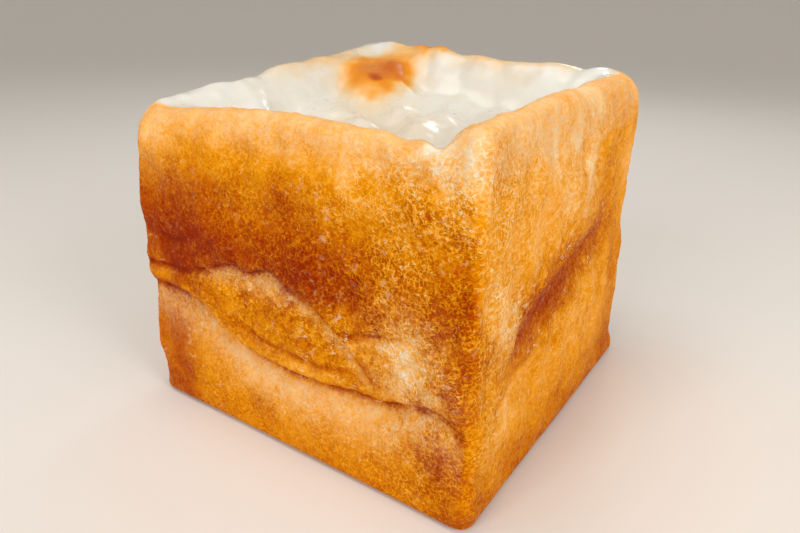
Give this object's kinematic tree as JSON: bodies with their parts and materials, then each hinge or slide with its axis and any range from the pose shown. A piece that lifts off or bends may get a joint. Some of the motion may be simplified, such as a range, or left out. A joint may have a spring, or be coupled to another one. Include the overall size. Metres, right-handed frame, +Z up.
{
  "type": "rice flour bread",
  "caption": "Cube-shaped rice flour loaf baked in a lidded tin, with golden side crusts that folded in and a pale, moist top that sank between its rims.",
  "frame": {"origin": "centre of the loaf's outline at its base", "axes": "+Z up, the wide crust that the picture shows faces -Y and the narrow one to its right faces +X"},
  "size_m": [0.1221, 0.1216, 0.1069],
  "materials": {
    "crust": "satin, golden brown bread crust, with a moist pale top"
  },
  "bodies": {
    "root": {"loaf": "crust"}
  },
  "joints": []
}
